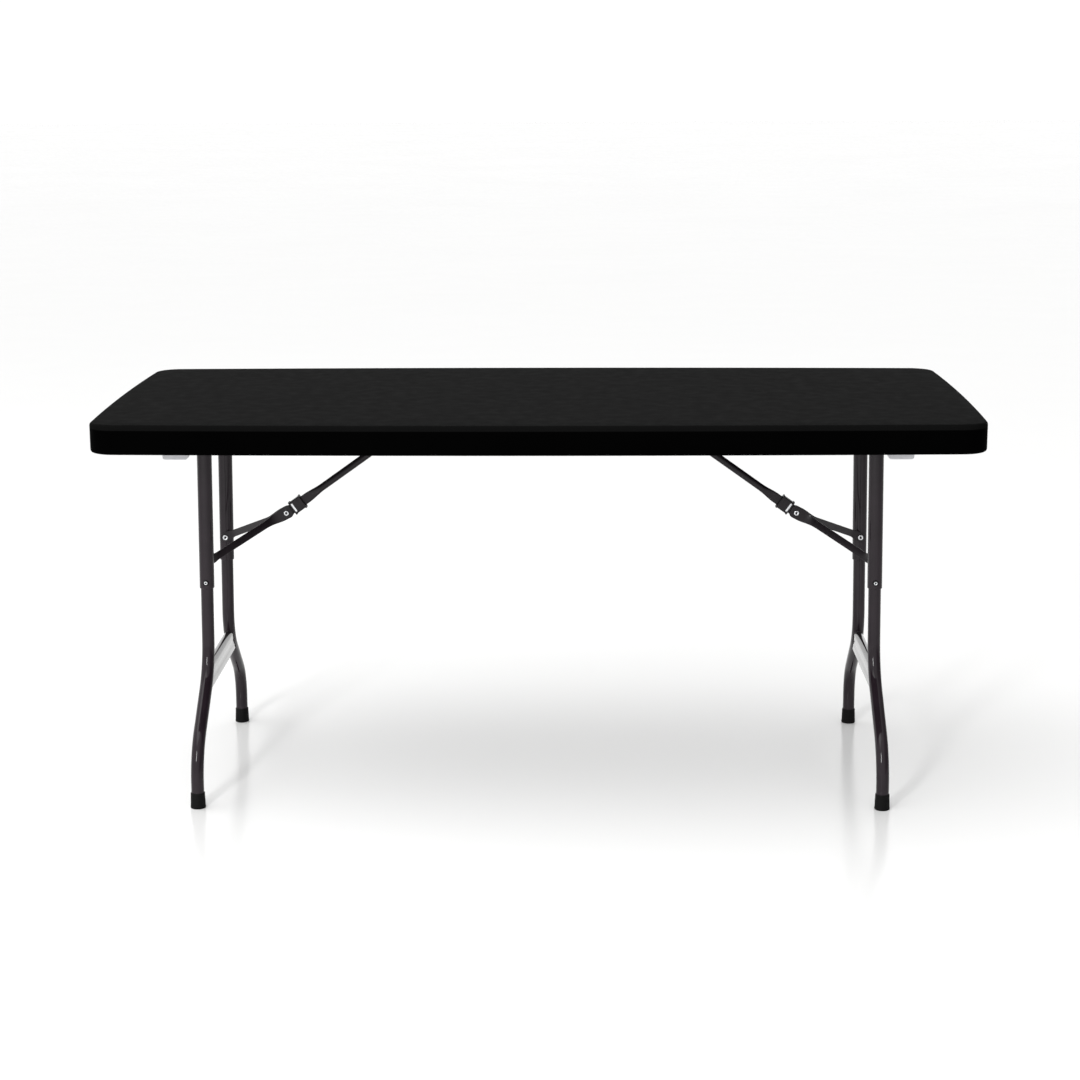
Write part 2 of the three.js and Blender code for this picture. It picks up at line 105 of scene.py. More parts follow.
def unit(vectors):
    return vectors / np.maximum(np.linalg.norm(vectors, axis=-1, keepdims=True), 1e-12)


def fullTurn(count):
    return np.linspace(0, 2 * np.pi, count, endpoint=False)[None, :]


def carried(path, radius, across, count=32, closed=False):
    # a circle carried along a path: centre + radius·(cos a·side + sin a·up),
    # with side and up square to the path
    path = np.asarray(path, float)
    radius = np.broadcast_to(np.asarray(radius, float), len(path))
    run = np.roll(path, -1, axis=0) - np.roll(path, 1, axis=0) if closed else np.gradient(path, axis=0)
    run = unit(run)
    side = unit(across - run * np.sum(across * run, axis=1, keepdims=True))
    up = np.cross(run, side)
    angle = fullTurn(count)[..., None]
    spokes = np.cos(angle) * side[:, None] + np.sin(angle) * up[:, None]
    return path[:, None] + radius[:, None, None] * spokes


def turned(profile, axis="y", count=32):
    # a profile of (radius, distance along the axis) turned once round that axis
    profile = np.asarray(profile, float)
    angle = fullTurn(count)
    first, second = profile[:, :1] * np.cos(angle), profile[:, :1] * np.sin(angle)
    along = np.broadcast_to(profile[:, 1:], first.shape)
    return np.stack((second, along, first) if axis == "y" else (first, second, along), axis=-1)


def slab(outline, low, high, edge, flat=False):
    # an outline given a thickness, along Z where it lies flat and else along Y;
    # its rims are pulled in by the edge, and each side closes at its middle
    rim = pulledIn(outline, edge)
    middle = np.broadcast_to(outline.mean(axis=0), outline.shape)
    rows = np.stack([middle, rim, outline, outline, rim, middle])
    first, second = rows[..., 0], rows[..., 1]
    depth = np.array([low, low, low + edge, high - edge, high, high])[:, None] + 0 * first
    return np.stack((first, second, depth) if flat else (first, depth, second), axis=-1)


def foldedSheet(line, thickness, low, high):
    # a sheet bent along a line of (y, z): the line moved half the thickness to each side,
    # then drawn out along X from low to high
    line = np.asarray(line, float)
    run = unit(np.gradient(line, axis=0))
    square = np.stack([-run[:, 1], run[:, 0]], axis=1) * thickness / 2
    ring = np.concatenate([line + square, (line - square)[::-1]])
    both = np.stack([line + square, line - square])

    def stand(points, x):
        return np.stack([np.full(points.shape[:-1], x), points[..., 0], points[..., 1]], axis=-1)

    wall = np.stack([stand(ring, low), stand(ring, high)])
    return [(wall, False, True), (stand(both, low), False, False), (stand(both, high), False, False)]


def gridFaces(shape, wrapRows, wrapColumns, first):
    index = np.arange(shape[0] * shape[1]).reshape(shape[:2]) + first
    if wrapRows:
        index = np.vstack([index, index[:1]])
    if wrapColumns:
        index = np.hstack([index, index[:, :1]])
    sides = [index[:-1, :-1], index[1:, :-1], index[1:, 1:], index[:-1, 1:]]
    return np.stack(sides, axis=-1).reshape(-1, 4)


def meshFrom(name, patches):
    # points of all the patches that lie in one place become one,
    # and a face that lost a side that way becomes a triangle
    points, faces, coats, first = [], [], [], 0
    for grid, wrapRows, wrapColumns, coat in patches:
        points.append(grid.reshape(-1, 3))
        faces.append(gridFaces(grid.shape, wrapRows, wrapColumns, first))
        coats.append(np.full(len(faces[-1]), coat))
        first += len(points[-1])
    points, faces, coats = np.concatenate(points), np.concatenate(faces), np.concatenate(coats)
    keys = np.round(points / weldDistance).astype(np.int64)
    _, kept, where = np.unique(keys, axis=0, return_index=True, return_inverse=True)
    points, faces = points[kept] * millimetre, where.reshape(-1)[faces]
    same = faces == np.roll(faces, -1, axis=1)
    whole, pinched = same.sum(axis=1) == 0, same.sum(axis=1) == 1
    triangles = faces[pinched][~same[pinched]].reshape(-1, 3)
    mesh = bpy.data.meshes.new(name)
    mesh.from_pydata(points.tolist(), [], faces[whole].tolist() + triangles.tolist())
    order = np.concatenate([coats[whole], coats[pinched]]).astype(np.int32)
    mesh.polygons.foreach_set("material_index", order)
    form = bmesh.new()
    form.from_mesh(mesh)
    bmesh.ops.recalc_face_normals(form, faces=form.faces)
    form.to_mesh(mesh)
    form.free()
    return mesh


def fullPatch(patch):
    # a bare grid closes round its columns and takes the piece's first finish
    if isinstance(patch, tuple):
        return patch if len(patch) == 4 else (*patch, 0)
    return patch, False, True, 0


def camelName(node):
    first, *others = node.split("_")
    return first + "".join(word.capitalize() for word in others)


bevelRule = {"segments": 2, "sharperThan": 40}


def makePiece(name, patches, finish, body, node=None, slot=None, bevel=0, flatAngle=35):
    mesh = meshFrom(name, [fullPatch(patch) for patch in patches])
    mesh.shade_smooth()
    mesh.set_sharp_from_angle(angle=math.radians(flatAngle))
    for coat in finish if isinstance(finish, list) else [finish]:
        mesh.materials.append(coat)
    piece = bpy.data.objects.new(name, mesh)
    bpy.context.collection.objects.link(piece)
    if bevel:
        soften = piece.modifiers.new("softEdges", "BEVEL")
        soften.width, soften.segments = bevel * millimetre, bevelRule["segments"]
        soften.limit_method, soften.angle_limit = "ANGLE", math.radians(bevelRule["sharperThan"])
    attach(piece, body)
    if node:
        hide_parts(node)
    return piece


def newFinish(name):
    material = bpy.data.materials.new(name)
    material.use_nodes = True
    nodes, links = material.node_tree.nodes, material.node_tree.links
    shader = nodes["Principled BSDF"]
    place = nodes.new("ShaderNodeTexCoord").outputs["Object"]
    return material, nodes, links, shader, place


def noiseOn(nodes, links, place, scale, detail=3):
    noise = nodes.new("ShaderNodeTexNoise")
    noise.inputs["Scale"].default_value = scale
    noise.inputs["Detail"].default_value = detail
    links.new(place, noise.inputs["Vector"])
    return noise.outputs["Fac"]


def rampOf(nodes, links, value, low, high, fromLow=0.3, fromHigh=0.7):
    ramp = nodes.new("ShaderNodeValToRGB")
    first, last = ramp.color_ramp.elements
    first.position, last.position = fromLow, fromHigh
    first.color, last.color = (*low, 1), (*high, 1)
    links.new(value, ramp.inputs["Fac"])
    return ramp.outputs["Color"]


def rangeOf(nodes, links, value, low, high, fromLow=0.3, fromHigh=0.7):
    spread = nodes.new("ShaderNodeMapRange")
    for socket, number in zip(("From Min", "From Max", "To Min", "To Max"), (fromLow, fromHigh, low, high)):
        spread.inputs[socket].default_value = number
    links.new(value, spread.inputs["Value"])
    return spread.outputs["Result"]


def bumpOf(nodes, links, height, depth, shader, strength):
    bump = nodes.new("ShaderNodeBump")
    bump.inputs["Strength"].default_value = strength
    bump.inputs["Distance"].default_value = depth * millimetre
    links.new(height, bump.inputs["Height"])
    links.new(bump.outputs["Normal"], shader.inputs["Normal"])


def grey(level, warm=0.0):
    return (level * (1 + warm), level, level * (1 + warm * 0.7))


# face and skirt levels are lit and shaded copies of one plastic: painted light on the face, painted shade
# on the skirt
topFinish = {
    "face": 0.0041, "faceSpread": 0.04, "skirt": 0.0005, "skirtSpread": 0.3,
    "skirtBelow": 10.4, "faceAbove": 9.0, "cloudScale": 5.5,
    "pebbleScale": 620, "pebbleDepth": 0.12, "pebbleStrength": 0.5,
    "roughness": (0.56, 0.64), "glossScale": 38, "specular": 0.004,
}


def makeMouldedPlastic():
    # a dark grey face with a fine pebble grain, and a nearly black skirt from a little below the face. Both
    # are one black plastic: the face is painted lighter as a painted sheen of the light from above, and the
    # skirt is painted nearly black as painted shade
    finish = topFinish
    material, nodes, links, shader, place = newFinish("mouldedPlastic")
    split = nodes.new("ShaderNodeSeparateXYZ")
    links.new(place, split.inputs["Vector"])
    faceHeight = float(boxOf("table_top")[1][2]) * millimetre
    # this mask parts the painted light on the face from the painted shade on the skirt
    litFaceMask = rangeOf(nodes, links, split.outputs["Z"], 0, 1, faceHeight - finish["skirtBelow"] * millimetre,
                     faceHeight - finish["faceAbove"] * millimetre)
    cloud = noiseOn(nodes, links, place, finish["cloudScale"], 5)
    blend = nodes.new("ShaderNodeMix")
    blend.data_type = "RGBA"
    links.new(litFaceMask, blend.inputs["Factor"])
    for part, socket in (("skirt", "A"), ("face", "B")):
        level, spread = finish[part], finish[part + "Spread"]
        tone = rampOf(nodes, links, cloud, grey(level * (1 - spread)), grey(level * (1 + spread)))
        links.new(tone, blend.inputs[socket])
    links.new(blend.outputs["Result"], shader.inputs["Base Color"])
    pebble = nodes.new("ShaderNodeTexVoronoi")
    pebble.inputs["Scale"].default_value = finish["pebbleScale"]
    links.new(place, pebble.inputs["Vector"])
    bumpOf(nodes, links, pebble.outputs["Distance"], finish["pebbleDepth"], shader,
           finish["pebbleStrength"])
    gloss = noiseOn(nodes, links, place, finish["glossScale"], 4)
    links.new(rangeOf(nodes, links, gloss, *finish["roughness"]), shader.inputs["Roughness"])
    shader.inputs["Specular IOR Level"].default_value = finish["specular"]
    return material


# what finishes of one kind share; "tone" and "grain" give a noise's scale and detail
finishKinds = {
    "paint": {"tone": (26, 4), "toneRange": (0.32, 0.68), "gloss": 90, "grain": (520, 2), "strength": 0.6,
              "metallic": 0},
    "moulding": {"tone": (45, 4), "toneRange": (0.3, 0.7), "gloss": 120, "strength": 0.6,
                 "coat": 0, "metallic": 0},
    "plating": {"tone": (340, 5), "toneRange": (0.3, 0.7), "grain": (1500, 2), "strength": 0.5,
                "specular": 0.5, "coat": 0, "metallic": 1},
}
finishes = {
    "mouldedUnderside": {"kind": "moulding", "dark": grey(0.005), "light": grey(0.008),
                         "roughness": (0.42, 0.52), "grain": (620, 3), "depth": 0.12, "specular": 0.22},
    "legPaint": {"kind": "paint", "dark": grey(0.008925, 0.5), "light": grey(0.012075, 0.5),
                 "roughness": (0.2, 0.26), "depth": 0.006, "specular": 0.02, "coat": 0.5},
    "barPaint": {"kind": "paint", "dark": grey(0.008925, 0.03), "light": grey(0.012075, 0.03),
                 "roughness": (0.12, 0.18), "depth": 0.004, "specular": 0.6, "coat": 0.62},
    "bracePaint": {"kind": "paint", "dark": grey(0.006375, 0.4), "light": grey(0.008625, 0.4),
                   "roughness": (0.32, 0.42), "depth": 0.012, "specular": 0.24, "coat": 0.05},
    "zincPlate": {"kind": "plating", "dark": (0.62, 0.63, 0.65), "light": (0.83, 0.84, 0.85),
                  "roughness": (0.2, 0.36), "depth": 0.02},
    "footRubber": {"kind": "moulding", "dark": grey(0.002), "light": grey(0.0035),
                   "roughness": (0.55, 0.7), "grain": (900, 3), "depth": 0.06, "specular": 0.12},
    "bearingPlastic": {"kind": "moulding", "dark": (0.62, 0.62, 0.65), "light": (0.70, 0.70, 0.73),
                       "roughness": (0.4, 0.5), "grain": (700, 3), "depth": 0.05, "specular": 0.5},
    "clipPlastic": {"kind": "moulding", "dark": grey(0.008), "light": grey(0.012),
                    "roughness": (0.42, 0.52), "grain": (800, 3), "depth": 0.05, "specular": 0.4},
}


def makeFinish(name):
    # clouded colour, uneven gloss and a fine grain; plating takes its gloss from its clouds
    finish = {**finishKinds[finishes[name]["kind"]], **finishes[name]}
    material, nodes, links, shader, place = newFinish(name)
    tone = noiseOn(nodes, links, place, *finish["tone"])
    colour = rampOf(nodes, links, tone, finish["dark"], finish["light"], *finish["toneRange"])
    links.new(colour, shader.inputs["Base Color"])
    gloss = noiseOn(nodes, links, place, finish["gloss"]) if "gloss" in finish else tone
    links.new(rangeOf(nodes, links, gloss, *finish["roughness"]), shader.inputs["Roughness"])
    grain = noiseOn(nodes, links, place, *finish["grain"])
    bumpOf(nodes, links, grain, finish["depth"], shader, finish["strength"])
    shader.inputs["Specular IOR Level"].default_value = finish["specular"]
    shader.inputs["Coat Weight"].default_value = finish["coat"]
    shader.inputs["Metallic"].default_value = finish["metallic"]
    return material


mouldedPlastic = makeMouldedPlastic()
mouldedUnderside = makeFinish("mouldedUnderside")
legPaint = makeFinish("legPaint")
barPaint = makeFinish("barPaint")
bracePaint = makeFinish("bracePaint")
zincPlate = makeFinish("zincPlate")
footRubber = makeFinish("footRubber")
bearingPlastic = makeFinish("bearingPlastic")
clipPlastic = makeFinish("clipPlastic")
print("materials made")

cameraSettings = {
    "place": (0.0878, -4.3772, 1.3937), "yaw": -1.176, "down": 12.1268, "roll": -0.2428,
    "lens": 76.44, "sensor": 36, "farthest": 200,
}


def makeCamera(settings):
    yaw, down, roll = (math.radians(settings[key]) for key in ("yaw", "down", "roll"))
    ahead = Vector((math.sin(yaw) * math.cos(down), math.cos(yaw) * math.cos(down), -math.sin(down)))
    level = Vector((math.cos(yaw), -math.sin(yaw), 0))
    upright = level.cross(ahead)
    right = level * math.cos(roll) + upright * math.sin(roll)
    up = upright * math.cos(roll) - level * math.sin(roll)
    lens = bpy.data.cameras.new("mainCamera")
    lens.lens, lens.sensor_width, lens.clip_end = settings["lens"], settings["sensor"], settings["farthest"]
    camera = bpy.data.objects.new("mainCamera", lens)
    bpy.context.collection.objects.link(camera)
    turn = Matrix((right, up, -ahead)).transposed().to_4x4()
    camera.matrix_world = Matrix.Translation(settings["place"]) @ turn
    bpy.context.scene.camera = camera


makeCamera(cameraSettings)

topPanel = {
    "endBow": 8, "sideBow": 14, "corner": 46, "edge": 6, "wall": 24, "cove": 6, "ceiling": 724.5, "step": 5,
    "lipEdge": 3, "cornerSteps": 8, "faceRing": 38, "skirtRows": 20,
    "dimplePitch": 40, "dimpleDepth": 5, "dimpleFrom": 0.3, "dimpleFull": 0.9,
    "plainEnd": 742, "plainSide": 300, "plainFade": 14, "flatAngle": 50,
}


def planOf(u, v, inset, half):
    # a square stretched to the outline. Near a corner the square (p, q) becomes the quarter disc
    # (p·sqrt(1 - q²/2), q·sqrt(1 - p²/2)); then ends and sides draw in as the square of the way
    # from their middles
    a, b, r = half[0] - inset, half[1] - inset, topPanel["corner"] - inset
    x, y = np.abs(u) * a, np.abs(v) * b
    p, q = np.clip((x - a + r) / r, 0, 1), np.clip((y - b + r) / r, 0, 1)
    x = np.minimum(x, a - r) + r * p * np.sqrt(1 - q * q / 2)
    y = np.minimum(y, b - r) + r * q * np.sqrt(1 - p * p / 2)
    drawnX = x - topPanel["endBow"] * x / a * (y / half[1]) ** 2
    drawnY = y - topPanel["sideBow"] * y / b * (x / half[0]) ** 2
    return np.sign(u) * drawnX, np.sign(v) * drawnY


def rimOf(grid):
    return np.concatenate([grid[:-1, 0], grid[-1, :-1], grid[:0:-1, -1], grid[0, :0:-1]])


def makeTop():
    low, high = boxOf("table_top")
    s, half = topPanel, (high - low)[:2] / 2
    columns, rows = int(half[0] * 2 / s["step"]), int(half[1] * 2 / s["step"])
    u, v = np.meshgrid(np.linspace(-1, 1, columns), np.linspace(-1, 1, rows), indexing="ij")
    wall, cove, ceiling = s["wall"], s["wall"] + s["cove"], s["ceiling"]
    corners = [(s["faceRing"], high[2]), (0, high[2]), (0, low[2]),
               (wall, low[2]), (wall, ceiling), (cove, ceiling)]
    rounds = [0, s["edge"], s["edge"], s["lipEdge"], s["lipEdge"], 0]
    profile = softened(corners, rounds, steps=s["cornerSteps"])
    rimU, rimV = rimOf(u), rimOf(v)
    rings = [np.stack([*planOf(rimU, rimV, inset, half), np.full(len(rimU), height)], axis=1)
             for inset, height in profile]
    middle = np.broadcast_to([0.0, 0.0, high[2]], rings[0].shape)
    skin = np.stack([middle, *rings])
    # under the top, rounded hollows stand on a six-sided lattice: cos(x)·cos(y) has its peaks there
    x, y = planOf(u, v, cove, half)
    pitch = s["dimplePitch"]
    lattice = np.cos(2 * np.pi * x / pitch) * np.cos(2 * np.pi * y / (pitch * math.sqrt(3)))
    inside = smoothly(s["plainEnd"] - np.abs(x), 0, s["plainFade"]) * smoothly(
        s["plainSide"] - np.abs(y), 0, s["plainFade"])
    hollow = smoothly(lattice, s["dimpleFrom"], s["dimpleFull"]) * inside * s["dimpleDepth"]
    under = np.stack([x, y, ceiling + hollow], axis=-1)
    outer, inner = skin[:s["skirtRows"] + 1], skin[s["skirtRows"]:]   # the two finishes meet on the lip
    makePiece("tableTop", [outer, (inner, False, True, 1), (under, False, False, 1)],
              [mouldedPlastic, mouldedUnderside], "table", "table_top", "moulded_top",
              flatAngle=s["flatAngle"])


makeTop()
print("top made")

screwShape = {
    "head": 4.5, "height": 2.2, "dome": 0.8, "sideFrom": 0.4, "sideTo": 0.7,
    "tipFrom": 2, "tipTo": 2.5, "crossDepth": 1.2, "rings": 18, "count": 48,
}


def screwGrid(x, y, face):
    # a domed head that hangs under its face: height·(1 - dome·(r/R)²)^½,
    # less a cross where |x| or |y| is small
    s = screwShape
    head, height = s["head"], s["height"]
    radius = np.concatenate([np.linspace(0, head, s["rings"]), [head, 0]])[:, None]
    angle = fullTurn(s["count"])
    east, north = radius * np.cos(angle), radius * np.sin(angle)
    dome = height * np.sqrt(1 - s["dome"] * (radius / head) ** 2) + 0 * angle
    across = np.minimum(np.abs(east), np.abs(north))
    along = np.maximum(np.abs(east), np.abs(north))
    cross = 1 - smoothly(across, s["sideFrom"], s["sideTo"])
    cross = cross * (1 - smoothly(along, s["tipFrom"], s["tipTo"]))
    drop = dome - s["crossDepth"] * cross
    drop[-2:] = 0
    return np.stack([x + east, y + north, face - drop], axis=-1)


def makeScrew(node):
    centre, face = centreOf(node), boxOf(node)[0][2] + screwShape["height"]
    makePiece(camelName(node), [screwGrid(centre[0], centre[1], face)], zincPlate, "table", node, "zinc")


for node in ("rail_screw_front_left", "rail_screw_back_left", "rail_screw_front_right",
             "rail_screw_back_right"):
    makeScrew(node)

railShape = {"sheet": 2, "bend": 2.2, "bendSteps": 7, "edge": 0.35}


def makeRail(node, side):
    low, high = boxOf(node)
    half = railShape["sheet"] / 2
    inner, outer = sorted((abs(low[1]), abs(high[1])))
    line = softened([
        (side * inner, high[2] - half), (side * (outer - half), high[2] - half),
        (side * (outer - half), low[2]),
    ], railShape["bend"], steps=railShape["bendSteps"])
    makePiece(camelName(node), foldedSheet(line, railShape["sheet"], low[0], high[0]), bracePaint,
              "table", node, "brace_paint", bevel=railShape["edge"])


makeRail("front_rail", -1)
makeRail("back_rail", 1)
print("rails and rail screws made")

# One end of the table is drawn at +X, and the left end is the same end turned half round.
legShape = {
    "sleeveRadius": 14, "sleeveBore": 12.3, "sleeveX": 632, "sleeveY": 125.4,
    "sleeveTop": 690, "sleeveEnd": 387,
    "radius": 12, "bore": 10.6, "top": 452, "bottom": 4, "footX": 640.5, "footY": 282.6,
    "upperCorner": 231, "lowerCorner": 102, "bend": 110, "straight": 50, "edge": 0.5, "count": 40,
    "pivotHalf": 315, "pivotWall": 2, "pivotBoreEdge": 0.4,
}
lean = (legShape["footX"] - legShape["sleeveX"]) / (legShape["sleeveTop"] - legShape["straight"])


def legX(z):
    return legShape["footX"] - lean * np.maximum(z - legShape["straight"], 0)


def legPath(steps=26):
    # straight down, an arc outwards, a straight run and an arc back to upright
    s, bend = legShape, legShape["bend"]
    slope = math.atan2(s["footY"] - s["sleeveY"], s["upperCorner"] - s["lowerCorner"])
    reach = bend * math.tan(slope / 2)
    angle = np.linspace(0, slope, steps)
    upperY = s["sleeveY"] + bend * (1 - np.cos(angle))
    upperZ = s["upperCorner"] + reach - bend * np.sin(angle)
    lowerY = s["footY"] - bend * (1 - np.cos(angle[::-1]))
    lowerZ = s["lowerCorner"] - reach + bend * np.sin(angle[::-1])
    above, below = np.linspace(s["top"], upperZ[0], 5)[:-1], np.linspace(lowerZ[-1], s["bottom"], 4)[1:]
    y = np.concatenate([np.full(len(above), s["sleeveY"]), upperY, lowerY, np.full(len(below), s["footY"])])
    z = np.concatenate([above, upperZ, lowerZ, below])
    return np.stack([legX(z), y, z], axis=1)


def legCentre(z):
    path = legPath()[::-1]
    y = np.interp(z, path[:, 2], path[:, 1])
    slope = np.interp(z, path[:, 2], np.gradient(path[:, 1], path[:, 2]))
    return y, slope


class End:
    # what one end's pieces share: its name, how it is turned, and how its brace lies at rest

    def __init__(self, name):
        self.name = name
        self.turn = np.array([1, 1, 1]) if name == "right" else np.array([-1, -1, 1])
        self.armTop = self.own(centreOf(f"{name}_brace_pin"))
        self.knee = self.own(centreOf(f"{name}_knee_rivet"))
        self.strutFoot = self.own(centreOf(self.node(1, "strut_bolt")))
        arm, fork = self.knee - self.armTop, self.strutFoot - self.knee
        self.armLength, self.armSlope = math.hypot(arm[0], arm[2]), math.atan2(-arm[2], arm[0])
        self.forkLength, self.forkSlope = math.hypot(fork[0], fork[2]), math.atan2(-fork[2], fork[0])

    def own(self, point):
        return point * self.turn

    def node(self, side, name):
        plus, minus = ("back", "front") if self.name == "right" else ("front", "back")
        return f"{self.name}_{plus if side > 0 else minus}_{name}"

    def lay(self, patches, side=1, origin=None, slope=0):
        # mirrors a piece across the long axis, tips it about Y, moves it and turns it to its own end
        laid = []
        for patch in patches:
            grid, wrapRows, wrapColumns, coat = fullPatch(patch)
            x, y, z = np.moveaxis(np.asarray(grid, float), -1, 0)
            tipped = np.stack([
                x * math.cos(slope) + z * math.sin(slope), side * y,
                z * math.cos(slope) - x * math.sin(slope),
            ], axis=-1)
            if origin is not None:
                tipped = tipped + np.array([origin[0], 0, origin[2]])
            laid.append((tipped * self.turn, wrapRows, wrapColumns, coat))
        return laid

    def make(self, node, patches, material, body, slot, side=1, origin=None, slope=0, **more):
        laid = self.lay(patches, side, origin, slope)
        return makePiece(camelName(node), laid, material, body, node, slot, **more)


def tubeProfile(radius, bore, low, high, edge, mouth):
    # once round a tube's wall, as (radius, distance along the axis), with its rims eased
    return [(radius - edge, low), (radius, low + edge), (radius, high - edge), (radius - edge, high),
            (bore + mouth, high), (bore, high - edge), (bore, low + edge), (bore + mouth, low)]


def makeLegs(end):
    body, s = f"{end.name}_leg_set", legShape
    across = np.array([1.0, 0, 0])
    edge, count = s["edge"], s["count"]
    wall = tubeProfile(s["sleeveRadius"], s["sleeveBore"], s["sleeveEnd"], s["sleeveTop"], edge, edge)
    sleeve = turned(wall, "z", count)
    sleeve[..., 0] += legX(sleeve[..., 2])
    sleeve[..., 1] += s["sleeveY"]
    path = legPath()
    tube = np.concatenate([
        carried(path, s["radius"], across, count), carried(path, s["bore"], across, count)[::-1]])
    for side in (1, -1):
        end.make(end.node(side, "sleeve"), [(sleeve, True, True)], legPaint, body, "leg_paint", side)
        end.make(end.node(side, "lower_tube"), [(tube, True, True)], legPaint, body, "leg_paint", side)
        makeFoot(end, side, body)
        makeSleeveRivet(end, side, body)
    makeCrossbar(end, body)
    makePivotTube(end, body)


def makePivotTube(end, body):
    node, s = f"{end.name}_pivot_tube", legShape
    low, high = boxOf(node)
    radius, half = (high[2] - low[2]) / 2, s["pivotHalf"]
    wall = tubeProfile(radius, radius - s["pivotWall"], -half, half, s["edge"], s["pivotBoreEdge"])
    end.make(node, [(turned(wall, count=s["count"]), True, True)], legPaint, body, "leg_paint",
             origin=end.own((low + high) / 2))


footShape = {
    "rows": 70, "count": 48, "heel": 2, "mouth": 3, "slack": 0.3,
    "taper": 0.9, "bulge": 0.3, "bulgeHeight": 2.2,
    "grooves": 3, "grooveDepth": 0.4, "grooveWidth": 0.55, "grooveFirst": 19, "groovePitch": 3, "sole": 3.5,
    "dish": 0.6, "tread": [(4, 0.6), (3.2, 0), (1.4, 0), (0.5, 0.5)], "rim": [(1.35, 1), (1.8, 0.2)],
    "rimEase": 0.2, "boreEase": 0.4,
}


def makeFoot(end, side, body):
    # a cap that narrows upwards, with a bell-shaped groove e^-(z/width)² at each groove's height
    node, s = end.node(side, "foot_cap"), footShape
    low, high = boxOf(node)
    centre, radius, height = end.own((low + high) / 2), (high[0] - low[0]) / 2, high[2]
    bore = legShape["radius"] + gap
    along = np.linspace(s["heel"], height - s["mouth"], s["rows"])
    outside = radius - s["slack"] - (along / height) * s["taper"]
    outside = outside + s["bulge"] * np.exp(-((along - s["heel"]) / s["bulgeHeight"]) ** 2)
    for groove in range(s["grooves"]):
        middle = s["grooveFirst"] + groove * s["groovePitch"]
        outside = outside - s["grooveDepth"] * np.exp(-((along - middle) / s["grooveWidth"]) ** 2)
    profile = np.concatenate([
        [(0, s["dish"])], [(radius - inward, up) for inward, up in s["tread"]],
        np.stack([outside, along], axis=1),
        [(radius - inward, height - down) for inward, down in s["rim"]],
        [(bore + s["rimEase"], height), (bore, height - s["boreEase"]), (bore, s["sole"]), (0, s["sole"])],
    ])
    foot = turned(profile, "z", s["count"]) + np.array([centre[0], abs(centre[1]), 0])
    end.make(node, [foot], footRubber, body, "rubber", side)


rivetShape = {
    "sleeve": {"head": 5.6, "height": 1.1, "ring": 3.5, "ringHeight": 1.5, "hollow": 1.5, "sunk": 0.2},
    "knee": {"head": 5.2, "height": 2.3, "hollow": 1.9, "shank": 4},
    "strut": {"head": 5.4, "height": 2.4, "hollow": 2.1, "shank": 3},
    "count": 32, "shankCount": 24, "deep": 1.6, "crownRows": 14, "foot": 0.25, "fullness": 0.8,
}


def rivetGrids(face, head, height, hollow, floor, sign=1):
    # a rolled rim round a sunk middle: the rim's crown is half a circle between the hollow and the head.
    # The sunk middle takes the piece's second finish, a dark coat that is painted shade in the hollow
    s = rivetShape
    crownAngle = np.linspace(0, np.pi, s["crownRows"])
    middle, half = (head + hollow) / 2, (head - hollow) / 2
    swell = s["foot"] + (1 - s["foot"]) * np.sin(crownAngle) ** s["fullness"]
    crown = np.stack([middle + half * np.cos(crownAngle), face + height * swell], axis=1)
    rim = np.concatenate([[(0, face), (head * 0.98, face), (head, face + height * 0.12)], crown])
    sunk = np.array([crown[-1], (hollow * 0.85, floor), (0, floor)])
    return [(turned(rim * [1, sign], count=s["count"]), False, True, 0),
            (turned(sunk * [1, sign], count=s["count"]), False, True, 1)]


def movedBy(patches, offset):
    return [(grid + offset, *rest) for grid, *rest in patches]


def makeSleeveRivet(end, side, body):
    # a flat black head, with the bright end of the tubular rivet standing in its middle; the hollow of that
    # end is painted black as painted shade
    node, s = end.node(side, "sleeve_rivet"), rivetShape["sleeve"]
    place = end.own(centreOf(node)) * [1, 0, 1]
    head, face = s["head"], legShape["sleeveY"] + legShape["sleeveRadius"] - s["sunk"]
    top = face + s["height"]
    washer = turned([(0, face - 1), (head, face - 1), (head, face + 0.7), (head - 0.5, face + 1.2),
                     (s["ring"] + 0.2, top), (0, top)])
    core = rivetGrids(face + 0.8, s["ring"], s["ringHeight"], s["hollow"], top - 0.3)
    # footRubber darkens the head and the hollow: the head's black is its own, the hollow's black is painted
    # shade
    end.make(node, movedBy([(washer, False, True, 1), *core], place), [zincPlate, footRubber], body,
             "zinc", side)


crossbarShape = {
    "thickness": 18, "swage": 0.5, "swageFrom": 4.5, "swageTo": 7, "cornerSteps": 12, "rows": 31,
    "into": 0.6, "tipBack": 4, "bead": 1.7, "beadCount": 12, "ripple": ((0.12, 2.4), (0.06, 5.1)),
}


